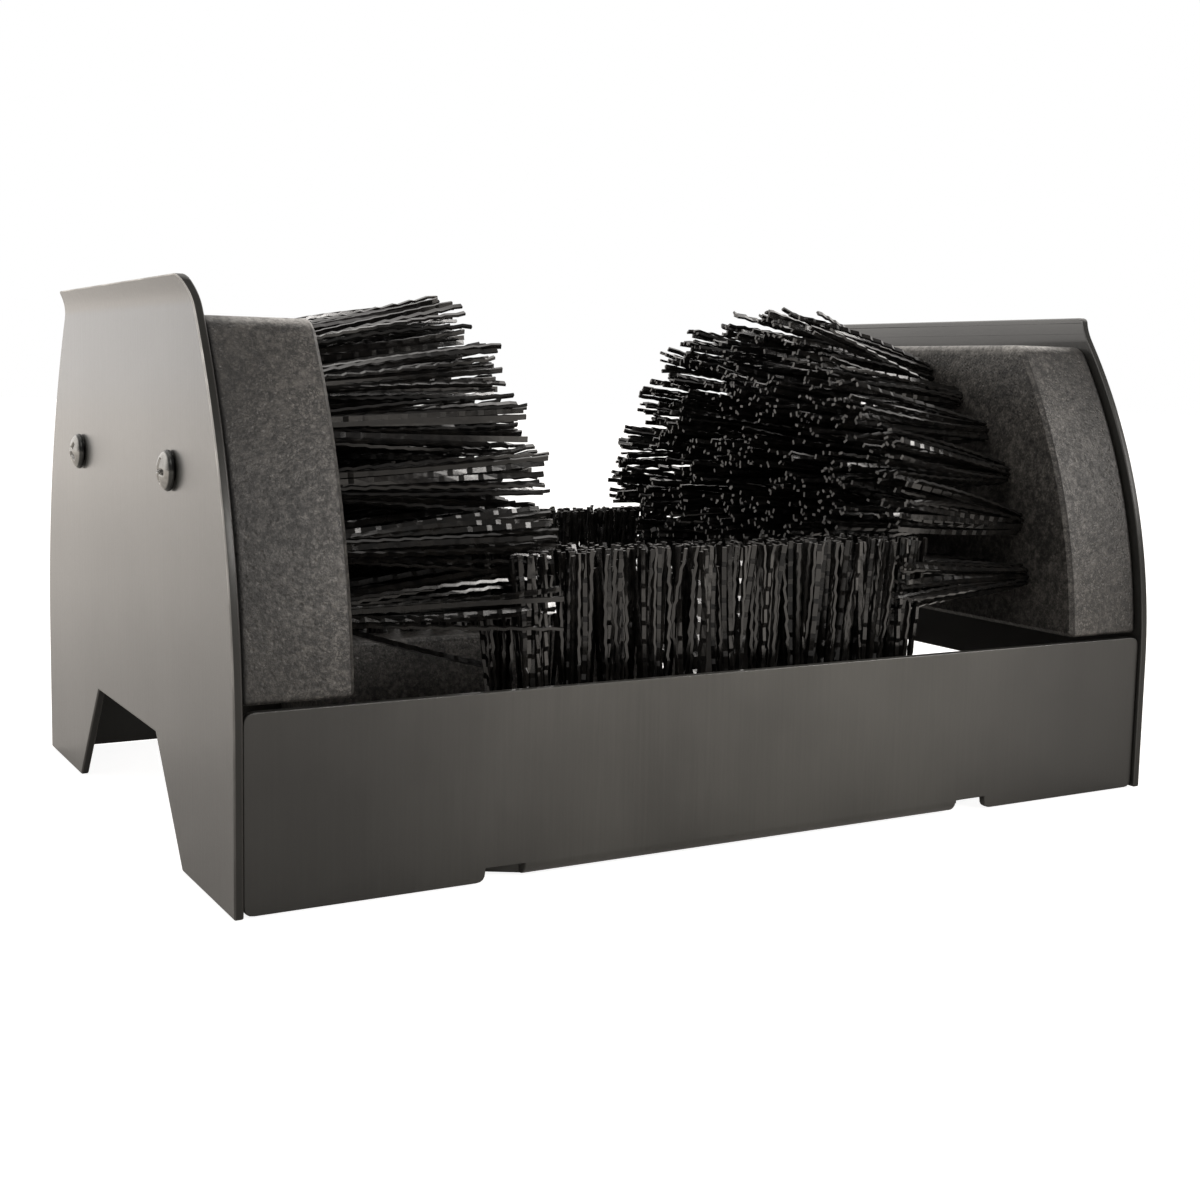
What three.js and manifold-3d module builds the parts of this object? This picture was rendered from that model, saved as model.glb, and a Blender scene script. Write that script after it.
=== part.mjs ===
// Boot scraper: two sheet-steel end plates joined by a folded base channel, with a brush
// on the inside of each end plate and a brush at the front and the rear of the base tray.
// Millimetres, +Z up, +X to the right. The origin is on the floor under the middle.

import * as THREE from 'three';
import { mergeVertices } from 'three/addons/utils/BufferGeometryUtils.js';
import Module from 'manifold-3d';

const wasm = await Module();
wasm.setup();

// Driving dimensions

// Sheet-steel frame
const overallWidth = 290;
const sheet = 2.3;
const seatGap = 0.3;
const reach = 20;

// End plates
const plateDepth = 195;
const plateHeight = 146;
const straightHeight = 40;
const edgeRadius = 181;
const plateCornerRadius = 4;
const flareHeight = 8;
const flareRadius = 12.5;
const archHeight = 30.4;
const archTopWidth = 62.6;
const archBottomWidth = 110.5;

// Base channel
const railHeight = 47.3;
const railSetback = 1.25;
const railTopCorner = 3;
const railBottomCorner = 2.5;
const bendRadius = 3.5;
const bendLength = 141;
const reliefWidth = 11;
const reliefCorner = 2.5;
const trayLength = 156;
const trayCornerRun = 4.5;

// Side brushes
const blockSetback = 2.3;
const blockThickness = 27.4;
const blockBottom = 48.5;
const blockTop = 136.5;
const blockCornerRadius = 4;
const blockChamfer = 1.6;
const sliceThickness = 3;
const ringCentreHeight = 58;
const ringRadii = [73, 56, 39, 22, 7];
const ringTufts = [14, 11, 8, 5, 2];
const lowestTuftHeight = 65;
const sideBristleLength = 60;
const sideSpread = 1.13;

// Floor brushes
const floorBlockLength = 140;
const floorBlockDepth = 36;
const floorBlockHeight = 33;
const floorBlockInset = 2.95;
const floorBlockChamfer = 1.2;
const floorTuftShift = 2;
const floorTuftPitch = 12;
const floorTuftCount = 12;
const floorRowSpacing = 8.5;
const frontTipHeight = 79;
const rearTipHeight = 75.5;
const floorSpread = 1.04;

// Bristles
const strandSize = 1.4;
const strandSides = 3;
const strandRoot = 0.8;
const tuftRadius = 2.2;
const tuftFan = 2.6;
const bristleClearance = 3;

// Side screws
const screwSpacing = 96;
const screwHeight = 99;
const screwHead = 10.3;
const screwHeadHeight = 3;
const screwShank = 4.8;
const screwLength = 22;

// Floor screws
const floorScrewSpacing = 90;
const floorScrewHead = 8.2;
const floorScrewShank = 4.2;
const floorScrewLength = 20;

// Screws in common
const recessWidth = 1.1;
const recessDepth = 1.6;
const recessShare = 0.55;
const tipLength = 4;

// Weld beads
const weldLeg = 3.5;
const weldLength = 34;
const weldStart = 7;

// Finishes
const coatedSteel = new THREE.MeshStandardMaterial({ color: 0x3b3a38, roughness: 0.5, metalness: 0.35 });
const weldSteel = new THREE.MeshStandardMaterial({ color: 0x353433, roughness: 0.6, metalness: 0.35 });
const blockPlastic = new THREE.MeshStandardMaterial({ color: 0x3d3b39, roughness: 0.75, metalness: 0 });
const bristlePlastic = new THREE.MeshStandardMaterial({ color: 0x141414, roughness: 0.35, metalness: 0 });
const screwSteel = new THREE.MeshStandardMaterial({ color: 0x8c8a84, roughness: 0.3, metalness: 0.9 });

// Planes that the pieces share
const halfWidth = overallWidth / 2;
const halfDepth = plateDepth / 2;
const innerFace = halfWidth - sheet;
const railFace = halfDepth - railSetback;
const railEnd = innerFace - seatGap;
const blockOuter = innerFace - seatGap;
const blockInner = blockOuter - blockThickness;
const floorBlockBottom = sheet + seatGap;
const floorBlockTop = floorBlockBottom + floorBlockHeight;
const floorBlockOffset = railFace - sheet - floorBlockInset - floorBlockDepth / 2;
const floorTuftOffset = floorBlockOffset + floorTuftShift;

// A closed mesh as a solid for cutting and joining
function toSolid(geometry) {
  const bare = geometry.clone();
  bare.deleteAttribute('normal');
  bare.deleteAttribute('uv');
  const merged = mergeVertices(bare, 1e-4);
  const mesh = new wasm.Mesh({
    numProp: 3,
    vertProperties: new Float32Array(merged.attributes.position.array),
    triVerts: new Uint32Array(merged.index.array),
  });
  mesh.merge();
  return new wasm.Manifold(mesh);
}

function toGeometry(solid) {
  const mesh = solid.getMesh();
  const geometry = new THREE.BufferGeometry();
  geometry.setAttribute('position', new THREE.BufferAttribute(new Float32Array(mesh.vertProperties), 3));
  geometry.setIndex(new THREE.BufferAttribute(new Uint32Array(mesh.triVerts), 1));
  geometry.computeVertexNormals();
  return geometry;
}

function boxSolid(min, max) {
  const geometry = new THREE.BoxGeometry(max[0] - min[0], max[1] - min[1], max[2] - min[2]);
  geometry.translate((min[0] + max[0]) / 2, (min[1] + max[1]) / 2, (min[2] + max[2]) / 2);
  return toSolid(geometry);
}

// An outline in (Y, Z), carried along X from start to end, with chamfered ends if asked
function alongX(shape, start, end, curveSegments = 12, chamfer = 0) {
  const geometry = new THREE.ExtrudeGeometry(shape, {
    depth: end - start - 2 * chamfer,
    bevelEnabled: chamfer > 0,
    bevelThickness: chamfer,
    bevelSize: chamfer,
    bevelOffset: -chamfer,
    bevelSegments: 1,
    curveSegments,
  });
  geometry.applyMatrix4(new THREE.Matrix4().set(0, 0, 1, start + chamfer, 1, 0, 0, 0, 0, 1, 0, 0, 0, 0, 0, 1));
  return toSolid(geometry);
}

// An outline in (X, Z), carried along Y from start to end
function alongY(shape, start, end, curveSegments = 6) {
  const geometry = new THREE.ExtrudeGeometry(shape, { depth: end - start, bevelEnabled: false, curveSegments });
  geometry.applyMatrix4(new THREE.Matrix4().set(1, 0, 0, 0, 0, 0, -1, end, 0, 1, 0, 0, 0, 0, 0, 1));
  return toSolid(geometry);
}

// A round profile of [radius, height] points, turned about an axis through a point
function turned(profile, place, toward, sides = 16) {
  const points = profile.map(([radius, height]) => new THREE.Vector2(radius, height));
  const geometry = new THREE.LatheGeometry(points, sides);
  const turn = new THREE.Quaternion().setFromUnitVectors(new THREE.Vector3(0, 1, 0), toward);
  geometry.applyQuaternion(turn);
  geometry.translate(place.x, place.y, place.z);
  return toSolid(geometry);
}

// A closed outline with rounded corners: each corner is [x, y, radius]
function roundedOutline(corners) {
  const shape = new THREE.Shape();
  corners.forEach(([x, y, radius], index) => {
    const before = corners[(index + corners.length - 1) % corners.length];
    const after = corners[(index + 1) % corners.length];
    const inward = new THREE.Vector2(before[0] - x, before[1] - y).normalize();
    const onward = new THREE.Vector2(after[0] - x, after[1] - y).normalize();
    const halfTurn = Math.acos(inward.dot(onward)) / 2;
    const run = radius > 0 ? radius / Math.tan(halfTurn) : 0;
    const start = [x + inward.x * run, y + inward.y * run];
    if (index === 0) shape.moveTo(start[0], start[1]);
    else shape.lineTo(start[0], start[1]);
    if (radius > 0) {
      shape.quadraticCurveTo(x, y, x + onward.x * run, y + onward.y * run);
    }
  });
  shape.closePath();
  return shape;
}

// The curved front and rear edges of an end plate, drawn in by an inset, up to a flat top
// with rounded corners. The outline runs up the front edge, over the top and down the rear.
function curvedTop(shape, inset, bottom, top, cornerRadius) {
  const arcCentre = halfDepth - edgeRadius;
  const radius = edgeRadius - inset;
  const cornerHeight = top - cornerRadius;
  const rise = cornerHeight - straightHeight;
  const cornerAngle = Math.asin(rise / (radius - cornerRadius));
  const cornerCentre = arcCentre + (radius - cornerRadius) * Math.cos(cornerAngle);
  const startAngle = Math.asin(Math.max(0, bottom - straightHeight) / radius);
  shape.absarc(arcCentre, straightHeight, radius, startAngle, cornerAngle, false);
  shape.absarc(cornerCentre, cornerHeight, cornerRadius, cornerAngle, Math.PI / 2, false);
  shape.absarc(-cornerCentre, cornerHeight, cornerRadius, Math.PI / 2, Math.PI - cornerAngle, false);
  shape.absarc(-arcCentre, straightHeight, radius, Math.PI - cornerAngle, Math.PI - startAngle, false);
}

function plateOutline() {
  const shape = new THREE.Shape();
  shape.moveTo(archBottomWidth / 2, 0);
  shape.lineTo(halfDepth, 0);
  curvedTop(shape, 0, 0, plateHeight, plateCornerRadius);
  shape.lineTo(-halfDepth, 0);
  shape.lineTo(-archBottomWidth / 2, 0);
  shape.lineTo(-archTopWidth / 2, archHeight);
  shape.lineTo(archTopWidth / 2, archHeight);
  shape.closePath();
  return shape;
}

// The section of an end plate in (X, Z): flat sheet, then a flare that turns outward
function flaredSection() {
  const bendStart = plateHeight - flareHeight;
  const turn = Math.asin(Math.min(1, flareHeight / flareRadius)) * 1.1;
  const centre = halfWidth + flareRadius;
  const shape = new THREE.Shape();
  shape.moveTo(innerFace, -reach);
  shape.lineTo(halfWidth, -reach);
  shape.lineTo(halfWidth, bendStart);
  shape.absarc(centre, bendStart, flareRadius, Math.PI, Math.PI - turn, true);
  shape.absarc(centre, bendStart, flareRadius + sheet, Math.PI - turn, Math.PI, false);
  shape.closePath();
  return shape;
}

function screwPlaces(side) {
  return [-1, 1].map((end) => new THREE.Vector3(side * halfWidth, end * screwSpacing / 2, screwHeight));
}

function mirrored(solid, side) {
  return side < 0 ? solid.mirror([1, 0, 0]) : solid;
}

function endPlate(side) {
  const blank = alongX(plateOutline(), innerFace - reach, halfWidth + reach, 14);
  let plate = alongY(flaredSection(), -plateDepth, plateDepth, 6).intersect(blank);
  plate = mirrored(plate, side);
  const outward = new THREE.Vector3(side, 0, 0);
  for (const place of screwPlaces(side)) {
    const radius = screwShank / 2 + seatGap;
    plate = plate.subtract(turned([[0, -reach], [radius, -reach], [radius, reach], [0, reach]], place, outward));
  }
  return plate;
}

// One rail of the base channel, flat sheet seen from the front, with a relief notch beside
// each end of the folded stretch
function railOutline() {
  const foldEnd = bendLength / 2;
  const notchEnd = foldEnd + reliefWidth;
  return roundedOutline([
    [-railEnd, railHeight, railTopCorner],
    [-railEnd, 0, railBottomCorner],
    [-notchEnd, 0, reliefCorner],
    [-notchEnd, bendRadius, 0],
    [notchEnd, bendRadius, 0],
    [notchEnd, 0, reliefCorner],
    [railEnd, 0, railBottomCorner],
    [railEnd, railHeight, railTopCorner],
  ]);
}

// The tray and its two folds in (Y, Z): a shallow channel with rounded lower corners
function traySection() {
  const foldCentre = railFace - bendRadius;
  const rise = bendRadius + railTopCorner;
  const innerRadius = bendRadius - sheet;
  const shape = new THREE.Shape();
  shape.moveTo(-railFace, rise);
  shape.absarc(-foldCentre, bendRadius, bendRadius, Math.PI, 1.5 * Math.PI, false);
  shape.absarc(foldCentre, bendRadius, bendRadius, 1.5 * Math.PI, 2 * Math.PI, false);
  shape.lineTo(railFace, rise);
  shape.lineTo(railFace - sheet, rise);
  shape.absarc(foldCentre, bendRadius, innerRadius, 2 * Math.PI, 1.5 * Math.PI, true);
  shape.absarc(-foldCentre, bendRadius, innerRadius, 1.5 * Math.PI, Math.PI, true);
  shape.lineTo(-railFace + sheet, rise);
  shape.closePath();
  return shape;
}

// The tray seen from above, with its corners drawn in towards the folds
function trayPlan() {
  const foldEnd = bendLength / 2;
  const trayEnd = trayLength / 2;
  const foldLine = railFace - bendRadius;
  const wide = foldLine - trayCornerRun;
  const corners = [[trayEnd, wide], [foldEnd, foldLine], [foldEnd, plateDepth]];
  const points = [
    ...corners.map(([x, y]) => [x, y]),
    ...corners.map(([x, y]) => [-x, y]).reverse(),
    ...corners.map(([x, y]) => [-x, -y]),
    ...corners.map(([x, y]) => [x, -y]).reverse(),
  ];
  return new THREE.Shape(points.map(([x, y]) => new THREE.Vector2(x, y)));
}

function baseChannel() {
  const planGeometry = new THREE.ExtrudeGeometry(trayPlan(), { depth: railHeight, bevelEnabled: false });
  planGeometry.translate(0, 0, -reach);
  const tray = alongX(traySection(), -trayLength, trayLength, 5).intersect(toSolid(planGeometry));
  const frontRail = alongY(railOutline(), -railFace, -railFace + sheet, 4);
  const rearRail = alongY(railOutline(), railFace - sheet, railFace, 4);
  let channel = tray.add(frontRail).add(rearRail);
  for (const place of floorScrewPlaces()) {
    channel = channel.subtract(countersunkScrew(place, seatGap));
  }
  return channel;
}

function floorScrewPlaces() {
  const places = [];
  for (const end of [-1, 1]) {
    for (const side of [-1, 1]) {
      places.push(new THREE.Vector3(side * floorScrewSpacing / 2, end * floorBlockOffset, 0));
    }
  }
  return places;
}

// The cross recess of a screw head, cut in from the face of the head
function crossRecess(headDiameter, depth) {
  const arm = headDiameter * recessShare / 2;
  const half = recessWidth / 2;
  const across = new THREE.BoxGeometry(2 * arm, 2 * depth, 2 * half);
  const along = new THREE.BoxGeometry(2 * half, 2 * depth, 2 * arm);
  return toSolid(across).add(toSolid(along));
}

// A pan-head screw on the outside of an end plate, its point towards the middle
function sideScrew(place, side) {
  const radius = screwShank / 2;
  const head = screwHead / 2;
  const top = seatGap + screwHeadHeight;
  const profile = [
    [0, -screwLength],
    [radius * 0.2, -screwLength],
    [radius, -screwLength + tipLength],
    [radius, seatGap],
    [head, seatGap],
    [head, seatGap + screwHeadHeight * 0.35],
    [head * 0.86, seatGap + screwHeadHeight * 0.75],
    [head * 0.55, top],
    [0, top],
  ];
  const recess = crossRecess(screwHead, recessDepth).translate([0, top, 0]);
  const solid = turned(profile, new THREE.Vector3(), new THREE.Vector3(0, 1, 0)).subtract(recess);
  return placedAlong(solid, place, new THREE.Vector3(side, 0, 0));
}

// A countersunk screw under the tray, its point upwards. A clearance above zero gives the
// hole that it sits in, open downwards.
function countersunkScrew(place, clearance) {
  const radius = floorScrewShank / 2 + clearance;
  const head = floorScrewHead / 2 + clearance;
  const mouth = clearance > 0 ? [[0, -reach], [head, -reach]] : [[0, seatGap]];
  const end = floorScrewLength + clearance;
  const profile = [
    ...mouth,
    [head, seatGap],
    [radius, seatGap + head - radius],
    [radius, end - tipLength],
    [radius * 0.3, end],
    [0, end],
  ];
  return turned(profile, place, new THREE.Vector3(0, 0, 1));
}

// A solid built on the Y axis, turned to point along a direction and moved to its place
function placedAlong(solid, place, direction) {
  const turn = new THREE.Quaternion().setFromUnitVectors(new THREE.Vector3(0, 1, 0), direction);
  const matrix = new THREE.Matrix4().compose(place, turn, new THREE.Vector3(1, 1, 1));
  const geometry = toGeometry(solid);
  geometry.applyMatrix4(matrix);
  return toSolid(geometry);
}

function floorScrew(place) {
  const recess = crossRecess(floorScrewHead, recessDepth);
  const placedRecess = placedAlong(recess, new THREE.Vector3(place.x, place.y, seatGap), new THREE.Vector3(0, 0, 1));
  return countersunkScrew(place, 0).subtract(placedRecess);
}

// A fillet weld up the inside corner between a rail and an end plate
function weldBead(side, end) {
  const x = innerFace - seatGap;
  const y = railFace - sheet - seatGap;
  const sag = weldLeg * 0.42;
  const shape = new THREE.Shape([
    new THREE.Vector2(x, y),
    new THREE.Vector2(x - weldLeg, y),
    new THREE.Vector2(x - weldLeg * 0.86, y - weldLeg * 0.3),
    new THREE.Vector2(x - sag, y - sag * 1.5),
    new THREE.Vector2(x, y - weldLeg),
  ]);
  const geometry = new THREE.ExtrudeGeometry(shape, { depth: weldLength, bevelEnabled: false });
  geometry.translate(0, 0, weldStart);
  let bead = toSolid(geometry);
  bead = end < 0 ? bead.mirror([0, 1, 0]) : bead;
  return mirrored(bead, side);
}

// The whole block of a side brush on the right, before it is split into body and slice
function sideBlock() {
  const shape = new THREE.Shape();
  curvedTop(shape, blockSetback, blockBottom, blockTop, blockCornerRadius);
  shape.closePath();
  return alongX(shape, blockInner, blockOuter, 12, blockChamfer);
}

function sideBlockBody(side) {
  const split = blockInner + sliceThickness + seatGap;
  const body = sideBlock().intersect(boxSolid([split, -plateDepth, 0], [halfWidth, plateDepth, plateHeight]));
  let block = mirrored(body, side);
  for (const place of screwPlaces(side)) {
    const radius = screwShank / 2 + seatGap;
    const depth = screwLength + seatGap;
    const profile = [[0, -depth], [radius, -depth], [radius, reach], [0, reach]];
    block = block.subtract(turned(profile, place, new THREE.Vector3(side, 0, 0)));
  }
  return block;
}

// Tufts of a side brush, on half rings about a centre low on the block: each is [y, z]
function sideTufts() {
  const tufts = [];
  ringRadii.forEach((radius, ring) => {
    const lift = Math.min(1, (lowestTuftHeight - ringCentreHeight) / radius);
    const first = Math.min(Math.asin(lift), Math.PI / 4);
    const count = ringTufts[ring];
    for (let index = 0; index < count; index += 1) {
      const angle = first + (Math.PI - 2 * first) * index / (count - 1);
      tufts.push([radius * Math.cos(angle), ringCentreHeight + radius * Math.sin(angle)]);
    }
  });
  return tufts;
}

// Tufts of a floor brush, in two staggered rows: each is [x, y] from the middle of the rows
function floorTufts() {
  const tufts = [];
  for (const row of [0, 1]) {
    const count = floorTuftCount - row;
    for (let index = 0; index < count; index += 1) {
      const x = (index - (count - 1) / 2) * floorTuftPitch;
      tufts.push([x, (row - 0.5) * floorRowSpacing]);
    }
  }
  return tufts;
}

// Straight strands joined in one closed mesh of separate prisms, each from a root to a tip
function strandSolid(strands) {
  const positions = [];
  const indices = [];
  for (const { root, tip } of strands) {
    const start = positions.length / 3;
    const axis = tip.clone().sub(root).normalize();
    const across = new THREE.Vector3(axis.y, axis.z, axis.x).cross(axis).normalize();
    const upward = axis.clone().cross(across);
    for (const centre of [root, tip]) {
      for (let corner = 0; corner < strandSides; corner += 1) {
        const angle = 2 * Math.PI * corner / strandSides;
        const point = centre.clone()
          .addScaledVector(across, Math.cos(angle) * strandSize / 2)
          .addScaledVector(upward, Math.sin(angle) * strandSize / 2);
        positions.push(point.x, point.y, point.z);
      }
    }
    for (let corner = 0; corner < strandSides; corner += 1) {
      const next = (corner + 1) % strandSides;
      const a = start + corner;
      const b = start + next;
      indices.push(a, b, b + strandSides, a, b + strandSides, a + strandSides);
    }
    for (let corner = 1; corner < strandSides - 1; corner += 1) {
      indices.push(start, start + corner + 1, start + corner);
      const end = start + strandSides;
      indices.push(end, end + corner, end + corner + 1);
    }
  }
  const geometry = new THREE.BufferGeometry();
  geometry.setAttribute('position', new THREE.BufferAttribute(new Float32Array(positions), 3));
  geometry.setIndex(indices);
  return toSolid(geometry);
}

// The strands of one tuft fan out from the root circle, so that none crosses another
function tuftOffsets(count, phase) {
  return Array.from({ length: count }, (_, index) => {
    const angle = phase + 2 * Math.PI * index / count;
    return [tuftRadius * Math.cos(angle), tuftRadius * Math.sin(angle)];
  });
}

// The lowest strands stop short of the floor brushes
function sideReach(y, z) {
  const besideFloorBrush = Math.abs(Math.abs(y) - floorTuftOffset) < floorRowSpacing + tuftRadius * tuftFan;
  const belowTips = z < Math.max(frontTipHeight, rearTipHeight) + bristleClearance;
  const edge = floorTuftPitch * (floorTuftCount - 1) / 2 * floorSpread + tuftRadius * tuftFan;
  return besideFloorBrush && belowTips ? blockInner - edge - bristleClearance : sideBristleLength;
}

// The bristled slice of a side brush
function sideBristles(side) {
  const split = blockInner + sliceThickness;
  const slice = sideBlock().intersect(boxSolid([0, -plateDepth, 0], [split, plateDepth, plateHeight]));
  const strands = [];
  for (const [tuftY, tuftZ] of sideTufts()) {
    const outerY = tuftY * sideSpread;
    const outerZ = ringCentreHeight + (tuftZ - ringCentreHeight) * sideSpread;
    for (const [offsetY, offsetZ] of tuftOffsets(4, Math.PI / 4)) {
      const tipY = outerY + offsetY * tuftFan;
      const tipZ = outerZ + offsetZ * tuftFan;
      const full = new THREE.Vector3(blockInner - sideBristleLength, tipY, tipZ);
      const root = new THREE.Vector3(blockInner, tuftY + offsetY, tuftZ + offsetZ);
      const share = sideReach(tipY, tipZ) / sideBristleLength;
      const sunk = root.clone().lerp(full, -strandRoot / sideBristleLength);
      strands.push({ root: sunk, tip: root.clone().lerp(full, share) });
    }
  }
  return mirrored(slice.add(strandSolid(strands)), side);
}

// The whole block of the rear floor brush, before it is split into body and slice
function floorBlock() {
  const halfY = floorBlockDepth / 2;
  const shape = roundedOutline([
    [floorBlockOffset - halfY, floorBlockBottom, 0],
    [floorBlockOffset + halfY, floorBlockBottom, 0],
    [floorBlockOffset + halfY, floorBlockTop, floorBlockChamfer],
    [floorBlockOffset - halfY, floorBlockTop, floorBlockChamfer],
  ]);
  return alongX(shape, -floorBlockLength / 2, floorBlockLength / 2, 2);
}

function floorBlockBody(end) {
  const split = floorBlockTop - sliceThickness - seatGap;
  const size = overallWidth;
  const body = floorBlock().intersect(boxSolid([-size, 0, -reach], [size, plateDepth, split]));
  let block = end < 0 ? body.mirror([0, 1, 0]) : body;
  for (const place of floorScrewPlaces().filter((point) => point.y * end > 0)) {
    block = block.subtract(countersunkScrew(place, seatGap));
  }
  return block;
}

// The bristled slice of a floor brush
function floorBristles(end) {
  const split = floorBlockTop - sliceThickness;
  const size = overallWidth;
  const slice = floorBlock().intersect(boxSolid([-size, 0, split], [size, plateDepth, plateHeight]));
  const tipHeight = end < 0 ? frontTipHeight : rearTipHeight;
  const length = tipHeight - floorBlockTop;
  const strands = [];
  for (const [tuftX, tuftY] of floorTufts()) {
    for (const [offsetX, offsetY] of tuftOffsets(3, Math.PI / 2)) {
      const root = new THREE.Vector3(tuftX + offsetX, floorTuftOffset + tuftY + offsetY, floorBlockTop);
      const tipX = tuftX * floorSpread + offsetX * tuftFan;
      const tipY = floorTuftOffset + tuftY * floorSpread + offsetY * tuftFan / 2;
      const tip = new THREE.Vector3(tipX, tipY, tipHeight);
      const sunk = root.clone().lerp(tip, -strandRoot / length);
      strands.push({ root: sunk, tip });
    }
  }
  const brush = slice.add(strandSolid(strands));
  return end < 0 ? brush.mirror([0, 1, 0]) : brush;
}

const scraper = new THREE.Group();

function addPiece(name, solid, material) {
  const mesh = new THREE.Mesh(toGeometry(solid), material);
  mesh.name = name;
  scraper.add(mesh);
}

const sides = [['left', -1], ['right', 1]];
const ends = [['front', -1], ['rear', 1]];

addPiece('base_channel', baseChannel(), coatedSteel);
for (const [sideName, side] of sides) {
  addPiece(`${sideName}_end_plate`, endPlate(side), coatedSteel);
  addPiece(`${sideName}_brush_block`, sideBlockBody(side), blockPlastic);
  addPiece(`${sideName}_brush_bristles`, sideBristles(side), bristlePlastic);
  screwPlaces(side).forEach((place, index) => {
    addPiece(`${sideName}_${ends[index][0]}_screw`, sideScrew(place, side), screwSteel);
  });
  for (const [endName, end] of ends) {
    addPiece(`${sideName}_${endName}_weld`, weldBead(side, end), weldSteel);
  }
}
for (const [endName, end] of ends) {
  addPiece(`${endName}_floor_brush_block`, floorBlockBody(end), blockPlastic);
  addPiece(`${endName}_floor_brush_bristles`, floorBristles(end), bristlePlastic);
  for (const [sideName, side] of sides) {
    const place = new THREE.Vector3(side * floorScrewSpacing / 2, end * floorBlockOffset, 0);
    addPiece(`${endName}_${sideName}_floor_screw`, floorScrew(place), screwSteel);
  }
}

export default scraper;
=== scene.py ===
import math

import bmesh
import bpy
import numpy as np
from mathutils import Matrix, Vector


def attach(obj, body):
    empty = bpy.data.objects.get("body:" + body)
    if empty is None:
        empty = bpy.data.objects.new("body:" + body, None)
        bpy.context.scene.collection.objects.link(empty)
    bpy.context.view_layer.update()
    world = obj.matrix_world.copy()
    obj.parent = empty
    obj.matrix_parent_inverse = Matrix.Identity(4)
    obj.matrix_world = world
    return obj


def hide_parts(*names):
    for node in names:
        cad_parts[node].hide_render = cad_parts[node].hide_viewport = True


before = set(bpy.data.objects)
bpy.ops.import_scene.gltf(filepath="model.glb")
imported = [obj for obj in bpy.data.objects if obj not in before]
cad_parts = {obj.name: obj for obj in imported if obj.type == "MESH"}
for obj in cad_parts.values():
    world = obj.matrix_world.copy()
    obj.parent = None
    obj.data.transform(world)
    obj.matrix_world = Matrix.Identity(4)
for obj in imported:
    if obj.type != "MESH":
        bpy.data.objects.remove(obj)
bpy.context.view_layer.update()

mm = 0.001  # shapes are given in millimetres, and looks, lamps and camera in metres
sides = (("left", -1), ("right", 1))
ends = (("front", -1), ("rear", 1))
random = np.random.default_rng(31)
twistRandom = np.random.default_rng(47)


# Meshes

def addPiece(name, mesh, materials):
    for material in materials:
        mesh.materials.append(material)
    piece = bpy.data.objects.new(name, mesh)
    bpy.context.scene.collection.objects.link(piece)
    return piece


def addMesh(name, points, faces, materials, smooth=None):
    # Points in millimetres, and faces as lists of corner numbers. Edges that turn by more than
    # smooth degrees stay sharp, and without it every face is flat.
    mesh = bpy.data.meshes.new(name)
    mesh.from_pydata((np.asarray(points) * mm).tolist(), [], faces)
    mesh.update()
    if smooth is not None:
        mesh.polygons.foreach_set("use_smooth", np.ones(len(mesh.polygons), bool))
        mesh.set_sharp_from_angle(angle=math.radians(smooth))
    return addPiece(name, mesh, materials)


def addQuads(name, points, quads, materials, slotNumbers):
    # A large mesh of four-cornered faces, put in as whole arrays
    mesh = bpy.data.meshes.new(name)
    count = len(quads)
    mesh.vertices.add(len(points))
    mesh.vertices.foreach_set("co", (points * mm).astype(np.float32).ravel())
    mesh.loops.add(count * 4)
    mesh.loops.foreach_set("vertex_index", quads.astype(np.int32).ravel())
    mesh.polygons.add(count)
    mesh.polygons.foreach_set("loop_start", np.arange(0, count * 4, 4, dtype=np.int32))
    piece = addPiece(name, mesh, materials)
    mesh.polygons.foreach_set("material_index", slotNumbers.astype(np.int32))
    mesh.polygons.foreach_set("use_smooth", np.zeros(count, bool))
    mesh.update(calc_edges=True)
    return piece


def ringQuads(rings, around):
    # Quads between neighbouring rings of a tube whose rings have the same number of points
    ring, corner = np.meshgrid(np.arange(rings - 1), np.arange(around), indexing="ij")
    following = (corner + 1) % around
    a = ring * around + corner
    b = ring * around + following
    return np.stack([a, b, b + around, a + around], -1).reshape(-1, 4)


def tubeFaces(rings, around, turned=False):
    # A tube's quads and one face over each end, all the other way round where turned
    last = (rings - 1) * around
    faces = ringQuads(rings, around).tolist()
    faces += [list(range(around))[::-1], list(range(last, last + around))]
    return [face[::-1] for face in faces] if turned else faces


def standFor(piece, slot, *nodes):
    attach(piece, "root")
    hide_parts(*nodes)
    return piece


# Material nodes

narrow, wide = (0.35, 0.65), (0.3, 0.7)  # the values that most of a noise lies between


def put(tree, socket, value):
    # Another node's output is linked, and a plain value is set on the socket itself
    if isinstance(value, bpy.types.NodeSocket):
        tree.links.new(value, socket)
    else:
        socket.default_value = value


def node(tree, kind, inputs=None, **settings):
    made = tree.nodes.new(kind)
    for key, value in settings.items():
        setattr(made, key, value)
    for key, value in (inputs or {}).items():
        put(tree, made.inputs[key], value)
    return made


def noise(tree, vector, scale, detail=4.0, roughness=0.55):
    made = node(tree, "ShaderNodeTexNoise", {"Vector": vector, "Scale": scale, "Detail": detail,
                                             "Roughness": roughness})
    return made.outputs["Fac"]


def remap(tree, value, low, high, newLow=0.0, newHigh=1.0):
    made = node(tree, "ShaderNodeMapRange", {"Value": value, "From Min": low, "From Max": high,
                                             "To Min": newLow, "To Max": newHigh})
    return made.outputs["Result"]


def math2(tree, operation, a, b):
    return node(tree, "ShaderNodeMath", {0: a, 1: b}, operation=operation).outputs[0]


def product(tree, first, *others):
    for other in others:
        first = math2(tree, "MULTIPLY", first, other)
    return first


def apart(tree, value, middle=0.0):
    # How far a value is from the middle, to either side
    return math2(tree, "ABSOLUTE", math2(tree, "SUBTRACT", value, middle), 0.0)


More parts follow.
